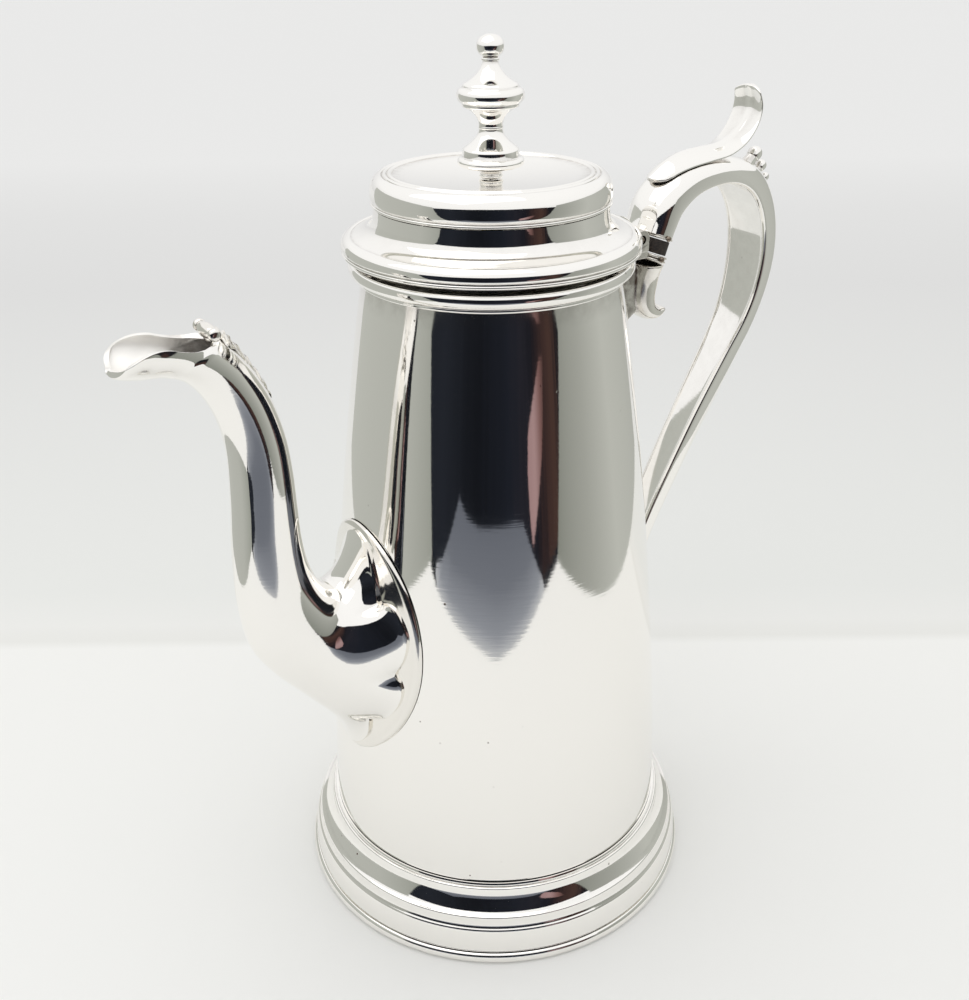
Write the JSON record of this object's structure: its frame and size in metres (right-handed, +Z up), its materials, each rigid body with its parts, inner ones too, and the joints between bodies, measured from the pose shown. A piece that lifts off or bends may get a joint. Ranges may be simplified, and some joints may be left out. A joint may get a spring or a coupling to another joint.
{
  "type": "coffee pot",
  "caption": "Tall tapered silver coffee pot with a stepped foot, swan-neck spout, hinged domed lid with a turned finial, and a hollow C-shaped handle held between fibre insulators.",
  "frame": {"origin": "centre of the foot ring's underside, on the surface the pot stands on", "axes": "+Z up along the body's axis, -X towards the spout, +X towards the handle, the XZ plane is the plane of symmetry"},
  "size_m": [0.2074, 0.1224, 0.25],
  "materials": {
    "polished_silver": "bright polished silver plate with fine wiping scratches",
    "soft_silver": "cast silver plate, less bright, tarnish in the recesses",
    "tarnished_silver": "dull brown-grey tarnished silver plate",
    "brass": "plain machined brass, slightly dull",
    "dark_fibre": "brown-black pressed fibre, matt"
  },
  "bodies": {
    "pot": {"foot_wire": "polished_silver", "foot_moulding": "polished_silver", "body_shell": "polished_silver", "base_plate": "soft_silver", "rim_moulding": "polished_silver", "spout_shell": "polished_silver", "spout_beak": "polished_silver", "spout_leaf": "soft_silver", "spout_scroll": "soft_silver", "spout_mount": "soft_silver", "spout_strainer": "soft_silver", "hinge_pot_leaf": "soft_silver", "hinge_pin": "tarnished_silver", "handle_shell": "polished_silver", "upper_insulator": "dark_fibre", "upper_ferrule": "soft_silver", "upper_collar": "soft_silver", "upper_socket": "soft_silver", "upper_ferrule_pin": "tarnished_silver", "upper_collar_pin": "tarnished_silver", "lower_insulator": "dark_fibre", "lower_ferrule": "soft_silver", "lower_collar": "soft_silver", "lower_socket": "soft_silver", "lower_ferrule_pin": "tarnished_silver", "lower_collar_pin": "tarnished_silver", "handle_leaf": "polished_silver", "handle_bead_1": "polished_silver", "handle_bead_2": "polished_silver", "handle_bead_3": "polished_silver"},
    "lid": {"lid_flange": "polished_silver", "lid_bezel": "soft_silver", "lid_cap": "polished_silver", "finial": "polished_silver", "finial_washer": "brass", "finial_nut": "brass", "hinge_lid_leaf": "soft_silver"}
  },
  "joints": [
    {"name": "lid_hinge", "type": "hinge", "parent": "pot", "child": "lid", "pos_m": [0.045, 0, 0.1946], "axis": [0, 1, 0], "range_deg": [0, 72]}
  ]
}
